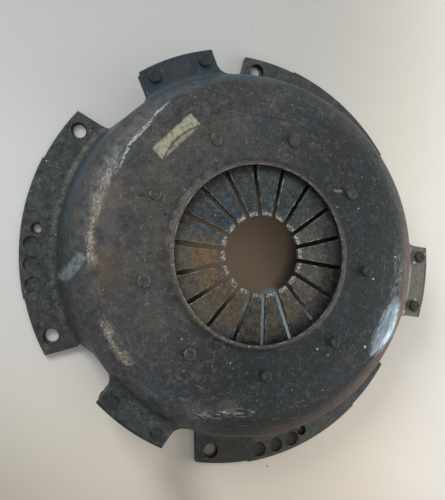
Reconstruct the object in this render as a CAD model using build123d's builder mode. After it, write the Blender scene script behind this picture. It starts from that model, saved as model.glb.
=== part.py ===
from build123d import *
import os
from math import cos, radians, sin, tan

# Diaphragm spring clutch cover assembly: pressed cover, cast pressure plate, spring and straps.
#
# Frame: the origin is the centre of the bolt circle on the flange's mounting face. +Z runs along the
# clutch axis from the flywheel towards the release bearing. +X passes through the middle of one ear.
# The assembly is drawn as it leaves the box, before bolting down: the spring is relaxed and the
# pressure plate hangs at the low end of its travel.

os.makedirs("parts", exist_ok=True)

# ---- flange and its holes -------------------------------------------------------------------------
sheet = 3.6                      # thickness of the pressed steel
segment_count = 3                # flange segments, ears, strap packs and lugs
bolt_circle = 243.0
bolt_count = 6
bolt_hole = 9.0                  # clearance for M8
dowel_hole = 6.0
flange_edge = 8.5                # metal beyond the bolt circle
flange_step = 0.8                # the edge is smaller by this beside the bolt holes
flange_end_angle = 18.5          # where the smaller edge begins, from the segment's centre
flange_tip_half_angle = 33.8     # segment's end, measured at the outer edge
flange_root_half_angle = 36.1    # segment's end, measured at the foot of the wall
bolt_seat = 11.7                 # room from the bolt circle in to the foot of the wall
balance_drill = 9.0              # blind balancing drillings
balance_depth = 1.4
balance_edge = 6.7               # from the flange's edge in to their centres
balance_angles = (184.3, 189.8, 195.2, 285.2, 290.6, 296.0)

# ---- pressed cover --------------------------------------------------------------------------------
top_height = 48.8                # flat top of the cover
wall_lean = 5.2                  # the wall leans in by this up to the shoulder's corner
shoulder_drop = 1.2              # that corner lies this far below the flat top
shoulder_fillet = 13.0
foot_fillet = 5.0                # outside radius between wall and flange
top_reach = 10.8                 # flat top beyond the circle of the spring rivets
lip_reach = 17.9                 # from the circle of the spring rivets in to the opening
lip_height = 2.0                 # the lip stands this far above the flat top
lip_land = 1.7                   # width of the worn flat on the lip
lip_foot = 2.4                   # radial spread of the lip's outer slope
lip_wall = 2.6                   # straight height inside the lip
lip_relief = 6.2                 # radial spread of the lip's sloping underside

# ---- raised ears and the windows below them -------------------------------------------------------
ear_height = 35.4                # top face of an ear
ear_edge = 6.1                   # metal outside the strap rivets
ear_side = 6.7                   # metal beside them
ear_fillet = 6.0                 # hollow bend between an ear and the shoulder
ear_root_fillet = 9.0            # concave flare of an ear's sides where they meet the wall
ear_bury = 0.02                  # the bend starts this far inside the shoulder
ear_roll = 1.2                   # rounding that blanking leaves on an ear's outer top edge
step_depth = 1.5                 # the first ear past +X is wider by this on its far side
step_edge = 4.0                  # from its outer edge in to the step where that begins
window_foot_height = 9.0         # top of the cut that ends the flange
window_inset = 0.5               # the window's foot lies this far inside the flange's ends
window_lug_room = 1.4            # and this much further out on the lug's side
window_lean = 6.5                # each side leans in by this up to the ear
window_corner = 6.0
tool_reach = 20.0                # cutting tools run this far past the flange

# ---- diaphragm spring and its fulcrum -------------------------------------------------------------
finger_count = 18
tip_radius = 22.2
tip_corner = 1.0                 # rounding of a fingertip's corners
spring_thickness = 2.6
cone_angle = 11.0                # free cone, fingertips high
slot_width = 2.5
window_hole = 9.6                # round end of each slot, at the rivet circle
spring_edge = 0.5                # edge break on the rim
wire_diameter = 4.0              # both fulcrum rings
fulcrum_play = 0.05              # at each contact of the fulcrum
rivet_count = 9
rivet_shank = 7.0                # spacer part of a spring rivet
rivet_neck = 5.4                 # part that passes through the cover
rivet_top_head = 6.8
rivet_top_rise = 1.8
rivet_low_head = 14.4
rivet_low_rise = 3.0
rivet_head_edge = 0.5
rivet_fit = 0.05                 # radial clearance in riveted holes

# ---- pressure plate -------------------------------------------------------------------------------
friction_height = 4.5            # friction face above the mounting face, before bolting down
friction_width = 36.0            # radial width of the friction face
plate_gap = 4.2                  # from the plate out to the inside of the wall's foot
plate_thickness = 11.5
plate_chamfer = 1.2
rim_inset = 7.0                  # from the plate's edge in to the spring's rim
nose_inset = 2.5                 # from the spring's rim in to the circle it presses on
nose_lever = 23.3                # from that circle in to the spring rivets
nose_width = 6.0
nose_foot_width = 12.0
nose_play = 0.2
nose_gap_count = 12
nose_gap_width = 9.0
nose_floor = 4.0                 # metal left above the plate's back face in the gaps
lug_side = 4.1                   # metal beside the strap's rivet, towards the ear's side
lug_inner_side = 9.4             # and towards the ear's middle
lug_thickness = 9.0
lug_edge = 5.4                   # metal outside the strap rivets
lug_root_fillet = 6.0
lug_corner = 4.0

# ---- straps and their rivets ----------------------------------------------------------------------
strap_reach = 9.56               # from the wall at the ear out to the strap rivets
strap_rivet_half_angle = 7.9
leaf_count = 3
leaf_thickness = 0.8
leaf_width = 11.6
leaf_overhang = 4.6              # leaf beyond its rivet's centre
leaf_corner = 4.5
leaf_bend = 8.0
leaf_flat = 6.0                  # flat length on the inner side of each rivet
strap_drop = 4.5                 # plate end below cover end, before bolting down
strap_shank = 5.0
strap_head = 7.2
strap_head_rise = 1.7
strap_closing_head = 8.0
strap_closing_rise = 2.2
strap_shoulder = 8.0
strap_shoulder_rise = 1.0
stop_play = 0.1                  # under the head that stops the plate's drop
ear_clearance = 0.4              # radial, round the plate's rivet in the ear

# ---- radii that follow, from the bolts inwards ----------------------------------------------------
segment_step = 360 / segment_count
bolt_radius = bolt_circle / 2
flange_radius = bolt_radius + flange_edge
flange_end_radius = flange_radius - flange_step
balance_radius = flange_radius - balance_edge
trim_reach = flange_radius + tool_reach
wall_foot_radius = bolt_radius - bolt_seat
shoulder_radius = wall_foot_radius - wall_lean
plate_outer_radius = wall_foot_radius - sheet - plate_gap
plate_inner_radius = plate_outer_radius - friction_width
rim_radius = plate_outer_radius - rim_inset
nose_radius = rim_radius - nose_inset
rivet_radius = nose_radius - nose_lever
top_edge_radius = rivet_radius + top_reach
opening_radius = rivet_radius - lip_reach
fulcrum_radius = rivet_radius + (rivet_shank + wire_diameter) / 2 + fulcrum_play

# ---- heights that follow, from the top downwards --------------------------------------------------
cover_under = top_height - sheet
ear_under = ear_height - sheet
shoulder_height = top_height - shoulder_drop
wire_reach = (wire_diameter / 2) / cos(radians(cone_angle))
cone_rise = tan(radians(cone_angle))
spring_rise = spring_thickness / cos(radians(cone_angle))
upper_ring_height = cover_under - wire_diameter / 2 - fulcrum_play
spring_top = upper_ring_height - wire_reach - fulcrum_play
spring_under = spring_top - spring_rise
lower_ring_height = spring_under - wire_reach - fulcrum_play
rivet_seat = lower_ring_height - wire_diameter / 2 - fulcrum_play
pack_thickness = leaf_count * leaf_thickness
lug_height = ear_under - strap_drop - pack_thickness

# ---- ears and strap rivets, which follow from the wall --------------------------------------------
wall_slope = wall_lean / (shoulder_height - sheet)
wall_at_ear = shoulder_radius + wall_slope * (shoulder_height - ear_height)
ear_root_radius = wall_at_ear - sheet / 2
strap_rivet_radius = wall_at_ear + strap_reach
ear_radius = strap_rivet_radius + ear_edge
lug_end_radius = strap_rivet_radius + lug_edge
strap_x = strap_rivet_radius * cos(radians(strap_rivet_half_angle))
strap_y = strap_rivet_radius * sin(radians(strap_rivet_half_angle))
ear_half_width = strap_y + ear_side
gap_half_angle = segment_step / 2 - flange_root_half_angle
window_foot_half_width = wall_foot_radius * sin(radians(gap_half_angle)) - window_inset
window_top_half_width = window_foot_half_width - window_lean


def cone_height(base, radius):
    """Height of a conical face of the spring at a radius, from its height at the fulcrum."""
    return base + cone_rise * (fulcrum_radius - radius)


def polar(radius, angle):
    """A point in plan from a radius and an angle in degrees."""
    return (radius * cos(radians(angle)), radius * sin(radians(angle)))


def upright_plane(angle):
    """Plane through the clutch axis: x runs outwards at the angle, y runs up."""
    return Plane(origin=(0, 0, 0), x_dir=(cos(radians(angle)), sin(radians(angle)), 0),
                 z_dir=(sin(radians(angle)), -cos(radians(angle)), 0))


def save(builder, name):
    """Labels a finished piece and writes it under its node's name."""
    builder.part.label = name
    export_step(builder.part, f"parts/{name}.step")


# ---- cover ----------------------------------------------------------------------------------------
def shell_section(foot_radius, brim_height, brim_radius, brim_fillet):
    """Section of the pressing from the lip's foot to the outer edge of a flange or an ear."""
    with BuildSketch() as section:
        with BuildLine():
            outside = FilletPolyline(
                (opening_radius + lip_relief, top_height),
                (top_edge_radius, top_height),
                (shoulder_radius, shoulder_height),
                (foot_radius, brim_height),
                (brim_radius, brim_height),
                radius=(shoulder_fillet, shoulder_fillet, brim_fillet))
            offset(outside, amount=sheet, side=Side.RIGHT)
        make_face()
    return section.sketch


def ring_sector(inner, outer, start, end):
    """Plan face between two radii and two angles."""
    with BuildSketch() as sector:
        with BuildLine():
            CenterArc((0, 0), outer, start, end - start)
            Line(polar(outer, end), polar(inner, end))
            CenterArc((0, 0), inner, start, end - start)
            Line(polar(inner, start), polar(outer, start))
        make_face()
    return sector.sketch


def flange_trim():
    """Plan of the metal cut away between two flange segments, across the ear on +X."""
    root_x, root_y = polar(wall_foot_radius, gap_half_angle)
    tip_x, tip_y = polar(flange_radius, segment_step / 2 - flange_tip_half_angle)
    lean = (tip_y - root_y) / (tip_x - root_x)
    far_y = root_y + lean * (trim_reach - root_x)
    near_x = root_x - sheet
    near_y = root_y - lean * sheet
    with BuildSketch() as trim:
        Polygon((near_x, near_y), (trim_reach, far_y), (trim_reach, -far_y), (near_x, -near_y),
                align=None)
    return trim.sketch


def ear_outline():
    """Plan of one ear on +X, from inside the wall outwards, with its sides flared into the wall."""
    with BuildSketch() as outline:
        Circle(wall_at_ear - ear_bury)
        Rectangle(trim_reach, 2 * ear_half_width, align=(Align.MIN, Align.CENTER))
        roots = outline.vertices().filter_by(lambda v: 0 < v.X < wall_at_ear)
        fillet(roots, radius=ear_root_fillet)
        add(ring_sector(ear_root_radius, trim_reach, -gap_half_angle, gap_half_angle),
            mode=Mode.INTERSECT)
    return outline.sketch


ear_angles = [segment_step * index for index in range(segment_count)]
segment_angles = [angle + segment_step / 2 for angle in ear_angles]

# centre of the shoulder's rounding, in a section through the clutch axis
along_top = Vector(top_edge_radius - shoulder_radius, top_height - shoulder_height)
along_wall = Vector(wall_foot_radius - shoulder_radius, sheet - shoulder_height)
halfway = (along_top.normalized() + along_wall.normalized()).normalized()
centre_reach = shoulder_fillet / sin(radians(along_top.get_angle(along_wall)) / 2)
shoulder_centre = Vector(shoulder_radius, shoulder_height) + halfway * centre_reach

with BuildPart() as ears:
    with BuildSketch(Plane.XZ) as ear_section:
        with Locations((ear_root_radius, ear_under)):
            Rectangle(ear_radius - ear_root_radius, sheet, align=(Align.MIN, Align.MIN))
        with Locations(shoulder_centre):
            Circle(shoulder_fillet - ear_bury)
        with Locations((ear_root_radius, ear_under)):
            Rectangle(ear_radius - ear_root_radius, shoulder_fillet, align=(Align.MIN, Align.MIN),
                      mode=Mode.INTERSECT)
        top_corners = ear_section.vertices().filter_by(lambda v: abs(v.Y - ear_height) < ear_bury)
        fillet(top_corners.sort_by(Axis.X)[0], radius=ear_fillet)
        outer_corners = ear_section.vertices().filter_by(lambda v: abs(v.Y - ear_height) < ear_bury)
        fillet(outer_corners.sort_by(Axis.X)[-1], radius=ear_roll)
    revolve(axis=Axis.Z)
    with BuildSketch(Plane.XY):
        with PolarLocations(0, segment_count):
            add(ear_outline())
        with PolarLocations(wall_at_ear, 1, start_angle=ear_angles[1]):
            with Locations((0, ear_half_width)):
                Rectangle(ear_radius - step_edge - wall_at_ear, 2 * step_depth,
                          align=(Align.MIN, Align.CENTER))
    extrude(amount=top_height, mode=Mode.INTERSECT)

with BuildPart() as cover:
    with BuildSketch(Plane.XZ):
        add(shell_section(wall_foot_radius, sheet, flange_radius, foot_fillet))
        with BuildLine():
            Polyline(
                (opening_radius, cover_under + lip_wall),
                (opening_radius, top_height + lip_height),
                (opening_radius + lip_land, top_height + lip_height),
                (opening_radius + lip_land + lip_foot, top_height),
                (opening_radius + lip_relief, top_height),
                (opening_radius + lip_relief, cover_under),
                close=True)
        make_face()
    revolve(axis=Axis.Z)
    # the flange is cut away below the ears, and a window opens the wall up to the ear
    with BuildSketch(Plane.XY):
        with PolarLocations(0, segment_count):
            add(flange_trim())
    extrude(amount=window_foot_height, mode=Mode.SUBTRACT)
    for angle in ear_angles:
        window_plane = Plane(origin=(*polar(top_edge_radius, angle), 0),
                             x_dir=(-sin(radians(angle)), cos(radians(angle)), 0),
                             z_dir=(cos(radians(angle)), sin(radians(angle)), 0))
        with BuildSketch(window_plane) as window:
            Polygon(
                (-window_foot_half_width - window_lug_room, 0),
                (-window_foot_half_width - window_lug_room, window_foot_height),
                (-window_top_half_width - window_lug_room, ear_under),
                (window_top_half_width, ear_under),
                (window_foot_half_width, window_foot_height),
                (window_foot_half_width, 0),
                align=None)
            fillet(window.vertices().group_by(Axis.Y)[-1], radius=window_corner)
        extrude(amount=trim_reach - top_edge_radius, mode=Mode.SUBTRACT)
    # the flange is a little smaller beside the bolt holes
    with BuildSketch(Plane.XY):
        for angle in segment_angles:
            for side in (-1, 1):
                ends = sorted((angle + side * flange_end_angle, angle + side * flange_root_half_angle))
                add(ring_sector(flange_end_radius, trim_reach, *ends))
    extrude(amount=sheet, mode=Mode.SUBTRACT)
    add(ears.part)
    # every hole
    with BuildSketch(Plane.XY):
        with PolarLocations(bolt_radius, bolt_count, start_angle=segment_step / 4):
            Circle(bolt_hole / 2)
        with PolarLocations(bolt_radius, segment_count, start_angle=segment_step / 2):
            Circle(dowel_hole / 2)
    extrude(amount=sheet, mode=Mode.SUBTRACT)
    with BuildSketch(Plane.XY):
        with PolarLocations(strap_rivet_radius, segment_count, start_angle=strap_rivet_half_angle):
            Circle(strap_shank / 2 + rivet_fit)
        with PolarLocations(strap_rivet_radius, segment_count, start_angle=-strap_rivet_half_angle):
            Circle(strap_shank / 2 + ear_clearance)
        with PolarLocations(rivet_radius, rivet_count):
            Circle(rivet_neck / 2 + rivet_fit)
    extrude(amount=top_height + lip_height, mode=Mode.SUBTRACT)
    with BuildSketch(Plane.XY.offset(sheet - balance_depth)):
        with Locations(*[polar(balance_radius, angle) for angle in balance_angles]):
            Circle(balance_drill / 2)
    extrude(amount=balance_depth, mode=Mode.SUBTRACT)
save(cover, "cover")

# ---- fulcrum rings --------------------------------------------------------------------------------
for ring_name, ring_height in (("fulcrum_ring_upper", upper_ring_height),
                               ("fulcrum_ring_lower", lower_ring_height)):
    with BuildPart() as fulcrum_ring:
        with BuildSketch(Plane.XZ):
            with Locations((fulcrum_radius, ring_height)):
                Circle(wire_diameter / 2)
        revolve(axis=Axis.Z)
    save(fulcrum_ring, ring_name)

# ---- diaphragm spring -----------------------------------------------------------------------------
with BuildPart() as diaphragm_spring:
    with BuildSketch(Plane.XZ) as spring_section:
        Polygon(
            (tip_radius / 2, cone_height(spring_top, tip_radius / 2)),
            (rim_radius, cone_height(spring_top, rim_radius)),
            (rim_radius, cone_height(spring_under, rim_radius)),
            (tip_radius / 2, cone_height(spring_under, tip_radius / 2)),
            align=None)
        chamfer(spring_section.vertices().group_by(Axis.X)[-1], length=spring_edge)
    revolve(axis=Axis.Z)
    with BuildSketch(Plane.XY) as fingers_cut:
        Circle(tip_radius)
        with PolarLocations(rivet_radius / 2, finger_count):
            Rectangle(rivet_radius, slot_width)
        tips = fingers_cut.vertices().filter_by(lambda v: v.center().length < tip_radius + tip_corner)
        fillet(tips, radius=tip_corner)
        with PolarLocations(rivet_radius, finger_count):
            Circle(window_hole / 2)
    extrude(amount=top_height + lip_height + sheet, mode=Mode.SUBTRACT)
save(diaphragm_spring, "diaphragm_spring")

# ---- rivets that carry the spring -----------------------------------------------------------------
for index in range(rivet_count):
    turn = 360 / rivet_count * index
    rivet_axis = Axis((*polar(rivet_radius, turn), 0), (0, 0, 1))
    with BuildPart() as spring_rivet:
        with BuildSketch(upright_plane(turn)) as rivet_section:
            with Locations((rivet_radius, 0)):
                Polygon(
                    (0, rivet_seat - rivet_low_rise),
                    (rivet_low_head / 2, rivet_seat - rivet_low_rise),
                    (rivet_low_head / 2, rivet_seat),
                    (rivet_shank / 2, rivet_seat),
                    (rivet_shank / 2, cover_under),
                    (rivet_neck / 2, cover_under),
                    (rivet_neck / 2, top_height),
                    (rivet_top_head / 2, top_height),
                    (rivet_top_head / 2, top_height + rivet_top_rise),
                    (0, top_height + rivet_top_rise),
                    align=None)
        revolve(axis=rivet_axis)
        head_edges = spring_rivet.edges().filter_by(GeomType.CIRCLE)
        chamfer([head_edges.sort_by(Axis.Z)[0], head_edges.sort_by(Axis.Z)[-1]], length=rivet_head_edge)
    save(spring_rivet, f"spring_rivet_{index + 1}")

# ---- pressure plate -------------------------------------------------------------------------------
plate_back = friction_height + plate_thickness
nose_reach = (nose_width / 2 + nose_play) / cos(radians(cone_angle))
nose_centre = cone_height(spring_under, nose_radius) - nose_reach
nose_gap_floor = plate_back + nose_floor


def lug_outline():
    """Plan of one lug below the ear on +X, round the strap's rivet."""
    with BuildSketch() as outline:
        Circle(plate_outer_radius - plate_chamfer)
        with Locations((nose_radius, -strap_y - lug_side)):
            Rectangle(lug_end_radius, lug_side + lug_inner_side, align=(Align.MIN, Align.MIN))
        roots = outline.vertices().filter_by(lambda v: nose_radius < v.X < plate_outer_radius)
        fillet(roots, radius=lug_root_fillet)
        Circle(lug_end_radius, mode=Mode.INTERSECT)
        ends = outline.vertices().filter_by(lambda v: v.X > strap_x)
        fillet(ends, radius=lug_corner)
        Circle(nose_radius, mode=Mode.SUBTRACT)
    return outline.sketch


with BuildPart() as pressure_plate:
    with BuildSketch(Plane.XZ) as plate_section:
        Polygon(
            (plate_inner_radius, friction_height),
            (plate_outer_radius, friction_height),
            (plate_outer_radius, plate_back),
            (nose_radius + nose_foot_width / 2, plate_back),
            (nose_radius + nose_width / 2, nose_centre),
            (nose_radius - nose_width / 2, nose_centre),
            (nose_radius - nose_foot_width / 2, plate_back),
            (plate_inner_radius, plate_back),
            align=None)
        rims = plate_section.vertices().filter_by(
            lambda v: v.X < plate_inner_radius + plate_chamfer or v.X > plate_outer_radius - plate_chamfer)
        chamfer(rims, length=plate_chamfer)
        with Locations((nose_radius, nose_centre)):
            Circle(nose_width / 2)
    revolve(axis=Axis.Z)
    with BuildSketch(Plane.XY.offset(nose_gap_floor)):
        with PolarLocations(nose_radius, nose_gap_count, start_angle=180 / nose_gap_count):
            Rectangle(2 * nose_foot_width, nose_gap_width)
    extrude(amount=top_height, mode=Mode.SUBTRACT)
    with BuildSketch(Plane.XY.offset(lug_height - lug_thickness)):
        with PolarLocations(0, segment_count):
            add(lug_outline())
    extrude(amount=lug_thickness)
    with BuildSketch(Plane.XY):
        with PolarLocations(strap_rivet_radius, segment_count, start_angle=-strap_rivet_half_angle):
            Circle(strap_shank / 2 + rivet_fit)
    extrude(amount=top_height, mode=Mode.SUBTRACT)
save(pressure_plate, "pressure_plate")

# ---- strap leaves ---------------------------------------------------------------------------------
for pack, angle in enumerate(ear_angles):
    strap_plane = Plane(origin=(*polar(strap_x - leaf_width / 2, angle), 0),
                        x_dir=(-sin(radians(angle)), cos(radians(angle)), 0),
                        z_dir=(cos(radians(angle)), sin(radians(angle)), 0))
    plan_plane = Plane(origin=(0, 0, 0), x_dir=(cos(radians(angle)), sin(radians(angle)), 0),
                       z_dir=(0, 0, 1))
    for leaf in range(leaf_count):
        leaf_top = ear_under - leaf * leaf_thickness
        with BuildPart() as strap_leaf:
            with BuildSketch(strap_plane):
                with BuildLine():
                    upper = FilletPolyline(
                        (-strap_y - leaf_overhang, leaf_top - strap_drop),
                        (-strap_y + leaf_flat, leaf_top - strap_drop),
                        (strap_y - leaf_flat, leaf_top),
                        (strap_y + leaf_overhang, leaf_top),
                        radius=leaf_bend)
                    add(upper.moved(Location((0, -leaf_thickness, 0))))
                    Line(upper @ 0, (upper @ 0) - (0, leaf_thickness))
                    Line(upper @ 1, (upper @ 1) - (0, leaf_thickness))
                make_face()
            extrude(amount=leaf_width)
            fillet(strap_leaf.edges().filter_by(Axis.Z), radius=leaf_corner)
            with BuildSketch(plan_plane):
                with Locations((strap_x, strap_y), (strap_x, -strap_y)):
                    Circle(strap_shank / 2 + rivet_fit)
            extrude(amount=top_height, mode=Mode.SUBTRACT)
        save(strap_leaf, f"strap_{pack + 1}_leaf_{leaf + 1}")

# ---- strap rivets ---------------------------------------------------------------------------------
pack_under = ear_under - pack_thickness
lug_under = lug_height - lug_thickness
pack_end_top = ear_under - strap_drop
stop_seat = ear_height + stop_play
for index, angle in enumerate(ear_angles):
    for side, rivet_name in ((1, "cover_strap_rivet"), (-1, "plate_strap_rivet")):
        turn = angle + side * strap_rivet_half_angle
        rivet_axis = Axis((*polar(strap_rivet_radius, turn), 0), (0, 0, 1))
        low_seat = pack_under if side > 0 else lug_under
        head_seat = ear_height if side > 0 else stop_seat
        with BuildPart() as strap_rivet:
            with BuildSketch(upright_plane(turn)):
                with Locations((strap_rivet_radius, 0)):
                    Polygon(
                        (0, low_seat - strap_closing_rise),
                        (strap_closing_head / 2, low_seat - strap_closing_rise),
                        (strap_closing_head / 2, low_seat),
                        (strap_shank / 2, low_seat),
                        (strap_shank / 2, head_seat),
                        (strap_head / 2, head_seat),
                        (strap_head / 2, head_seat + strap_head_rise),
                        (0, head_seat + strap_head_rise),
                        align=None)
            revolve(axis=rivet_axis)
            if side < 0:
                with BuildSketch(Plane.XY.offset(pack_end_top)):
                    with Locations(polar(strap_rivet_radius, turn)):
                        Circle(strap_shoulder / 2)
                extrude(amount=strap_shoulder_rise)
            head_edges = strap_rivet.edges().filter_by(GeomType.CIRCLE)
            chamfer([head_edges.sort_by(Axis.Z)[0], head_edges.sort_by(Axis.Z)[-1]],
                    length=rivet_head_edge)
        save(strap_rivet, f"{rivet_name}_{index + 1}")
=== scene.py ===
from functools import reduce
from math import cos, pi, radians, sin

import bmesh
import bpy
from mathutils import Matrix, Vector
from mathutils.bvhtree import BVHTree


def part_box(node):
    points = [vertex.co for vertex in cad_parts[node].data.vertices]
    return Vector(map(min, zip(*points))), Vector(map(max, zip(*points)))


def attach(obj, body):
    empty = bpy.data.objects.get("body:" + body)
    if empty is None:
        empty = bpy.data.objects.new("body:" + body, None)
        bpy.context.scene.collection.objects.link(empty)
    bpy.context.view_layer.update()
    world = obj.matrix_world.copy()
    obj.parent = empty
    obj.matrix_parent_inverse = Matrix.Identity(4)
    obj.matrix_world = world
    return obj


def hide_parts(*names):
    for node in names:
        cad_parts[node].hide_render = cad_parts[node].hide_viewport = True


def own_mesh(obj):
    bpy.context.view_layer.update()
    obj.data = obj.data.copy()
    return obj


bl_info = {
    "name": "Clutch Cover Dresser",
    "version": (1, 0, 0),
    "blender": (4, 5, 0),
    "location": "3D View > Sidebar > Clutch",
    "description": "Finishes a diaphragm spring clutch cover assembly and lays it on a bench",
    "category": "Object",
}

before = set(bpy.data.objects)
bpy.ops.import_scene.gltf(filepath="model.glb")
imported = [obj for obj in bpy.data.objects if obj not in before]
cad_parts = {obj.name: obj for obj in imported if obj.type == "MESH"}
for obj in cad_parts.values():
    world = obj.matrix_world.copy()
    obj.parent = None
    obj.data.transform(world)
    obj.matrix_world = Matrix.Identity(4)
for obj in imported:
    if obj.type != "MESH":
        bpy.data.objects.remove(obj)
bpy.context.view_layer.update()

# ---- sizes shared by the pieces and their finishes, in millimetres ----------------------------------
MM = 0.001
SHEET = 3.6                       # thickness of the pressing
HEAD_RISE = 1.8                   # of a spring rivet's head above the top
TOP_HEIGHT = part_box("spring_rivet_1")[1].z / MM - HEAD_RISE
FRICTION_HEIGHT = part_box("pressure_plate")[0].z / MM
RIVET_CIRCLE = 69.2               # radius of the circle of the spring rivets
BOLT_CIRCLE = 121.5               # radius of the circle of the flange's bolts
TIP = 22.2                        # radius inside the fingertips
SLOT = 2.5                        # width between two fingers
RIGHT_EAR = 0                     # bearings of two of the ears, in degrees
UPPER_EAR = 120

# ---- how many of each ------------------------------------------------------------------------------
FINGERS = 18
SPRING_RIVETS = 9
BOLTS = 6
DOWELS = 3
EARS = 3
LEAVES = 3                        # in the strap pack of one ear


def rgb(red, green, blue):
    """Linear colour with alpha from the three display values that a paint chart gives, 0 to 255."""
    def linear(value):
        share = value / 255
        return share / 12.92 if share <= 0.04045 else ((share + 0.055) / 1.055) ** 2.4
    return (linear(red), linear(green), linear(blue), 1.0)


# bearing of each hole that shows the bench, then where the lit disc inside its painted shadow lies, its
# radius and its colour
HOLE_SHADOWS = ((90, (-0.9, -0.4), 3.6, rgb(190, 200, 210)), (150, (1.2, 0.3), 3.9, rgb(226, 224, 216)),
              (180, (1.4, 0.4), 2.3, rgb(214, 206, 190)), (210, (1.1, 1.1), 3.9, rgb(226, 222, 212)),
              (270, (-0.3, 0.9), 4.0, rgb(158, 138, 122)), (300, (-0.8, 1.0), 1.2, rgb(180, 170, 156)))


# ---- node maths ------------------------------------------------------------------------------------
class Value:
    """A number inside a finish. Arithmetic on it adds Math nodes."""

    def __init__(self, finish, socket):
        self.finish = finish
        self.socket = socket

    def __add__(self, other):
        return self.finish.math("ADD", self, other)

    def __radd__(self, other):
        return self.finish.math("ADD", other, self)

    def __sub__(self, other):
        return self.finish.math("SUBTRACT", self, other)

    def __rsub__(self, other):
        return self.finish.math("SUBTRACT", other, self)

    def __mul__(self, other):
        return self.finish.math("MULTIPLY", self, other)

    def __rmul__(self, other):
        return self.finish.math("MULTIPLY", other, self)

    def __truediv__(self, other):
        return self.finish.math("DIVIDE", self, other)

    def __pow__(self, other):
        return self.finish.math("POWER", self, other)

    def __abs__(self):
        return self.finish.math("ABSOLUTE", self)


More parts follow.
